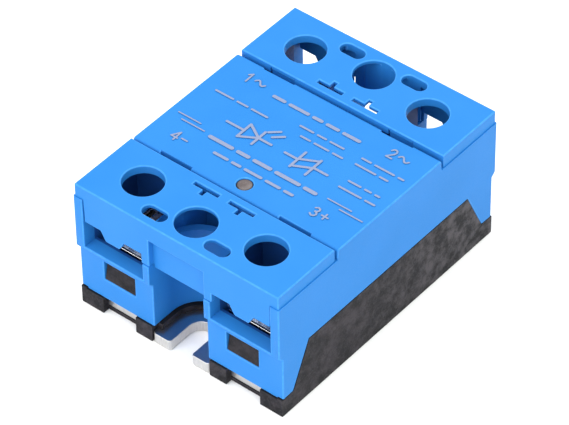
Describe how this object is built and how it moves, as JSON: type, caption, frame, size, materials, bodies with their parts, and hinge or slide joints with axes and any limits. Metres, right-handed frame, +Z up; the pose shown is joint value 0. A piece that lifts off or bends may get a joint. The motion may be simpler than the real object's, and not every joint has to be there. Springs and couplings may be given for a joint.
{
  "type": "solid state relay",
  "caption": "Box-shaped panel-mount solid state relay on a metal plate, with screw terminals under a hinged cover at each end and a status window on top.",
  "frame": {"origin": "middle of the underside of the base plate, which is the bottom centre of the whole relay", "axes": "+Z up out of the mounting surface, X across the body, -Y towards the control terminals and the open mounting slot, +Y towards the output terminals"},
  "size_m": [0.0448, 0.0592, 0.0281],
  "materials": {
    "aluminium": "satin",
    "black_plastic": "satin",
    "blue_plastic": "satin",
    "tinted_window": "gloss",
    "led_red": "gloss",
    "copper": "satin",
    "ceramic": "matte",
    "silicon": "satin",
    "tinned_copper": "satin",
    "zinc_steel": "satin",
    "green_board": "satin",
    "black_epoxy": "matte",
    "film_capacitor": "satin",
    "blue_epoxy": "satin",
    "clear_gel": "gloss"
  },
  "bodies": {
    "relay_body": {"base_plate": "aluminium", "base_frame": "black_plastic", "housing": "blue_plastic", "led_window": "tinted_window", "status_led": "led_red", "base_copper": "copper", "ceramic_substrate": "ceramic", "copper_tracks": "copper", "thyristor_line": "silicon", "thyristor_load": "silicon", "bridge_straps": "copper", "line_terminal": "tinned_copper", "load_terminal": "tinned_copper", "plus_terminal": "tinned_copper", "minus_terminal": "tinned_copper", "terminal_nuts": "zinc_steel", "control_board": "green_board", "gate_pins": "copper", "trigger_chip": "black_epoxy", "input_regulator": "black_epoxy", "board_resistors": "black_epoxy", "snubber_capacitor": "film_capacitor", "surge_absorber": "blue_epoxy", "silicone_gel": "clear_gel"},
    "front_cover": {"front_cover": "blue_plastic"},
    "rear_cover": {"rear_cover": "blue_plastic"},
    "line_clamp": {"line_clamp": "tinned_copper"},
    "line_screw": {"line_screw": "zinc_steel"},
    "load_clamp": {"load_clamp": "tinned_copper"},
    "load_screw": {"load_screw": "zinc_steel"},
    "plus_clamp": {"plus_clamp": "tinned_copper"},
    "plus_screw": {"plus_screw": "zinc_steel"},
    "minus_clamp": {"minus_clamp": "tinned_copper"},
    "minus_screw": {"minus_screw": "zinc_steel"}
  },
  "joints": [
    {"name": "front_cover_hinge", "type": "hinge", "parent": "relay_body", "child": "front_cover", "pos_m": [0, -0.0152, 0.0273], "axis": [-1, 0, 0], "range_deg": [0, 90]},
    {"name": "rear_cover_hinge", "type": "hinge", "parent": "relay_body", "child": "rear_cover", "pos_m": [0, 0.0152, 0.0273], "axis": [1, 0, 0], "range_deg": [0, 90]},
    {"name": "line_clamp_lift", "type": "slide", "parent": "relay_body", "child": "line_clamp", "axis": [0, 0, 1], "range_m": [0, 0.0036]},
    {"name": "line_screw_turn", "type": "hinge", "parent": "line_clamp", "child": "line_screw", "pos_m": [-0.01345, 0.0217, 0.018], "axis": [0, 0, 1], "range_deg": [0, 1620.8]},
    {"name": "load_clamp_lift", "type": "slide", "parent": "relay_body", "child": "load_clamp", "axis": [0, 0, 1], "range_m": [0, 0.0036]},
    {"name": "load_screw_turn", "type": "hinge", "parent": "load_clamp", "child": "load_screw", "pos_m": [0.01345, 0.0217, 0.018], "axis": [0, 0, 1], "range_deg": [0, 1620.8]},
    {"name": "plus_clamp_lift", "type": "slide", "parent": "relay_body", "child": "plus_clamp", "axis": [0, 0, 1], "range_m": [0, 0.0036]},
    {"name": "plus_screw_turn", "type": "hinge", "parent": "plus_clamp", "child": "plus_screw", "pos_m": [0.01345, -0.0217, 0.018], "axis": [0, 0, 1], "range_deg": [0, 1852.4]},
    {"name": "minus_clamp_lift", "type": "slide", "parent": "relay_body", "child": "minus_clamp", "axis": [0, 0, 1], "range_m": [0, 0.0036]},
    {"name": "minus_screw_turn", "type": "hinge", "parent": "minus_clamp", "child": "minus_screw", "pos_m": [-0.01345, -0.0217, 0.018], "axis": [0, 0, 1], "range_deg": [0, 1852.4]}
  ],
  "couplings": [
    {"joint": "line_screw_turn", "follows": "line_clamp_lift", "rad_per_m": 7854},
    {"joint": "load_screw_turn", "follows": "load_clamp_lift", "rad_per_m": 7854},
    {"joint": "plus_screw_turn", "follows": "plus_clamp_lift", "rad_per_m": 8976},
    {"joint": "minus_screw_turn", "follows": "minus_clamp_lift", "rad_per_m": 8976}
  ]
}
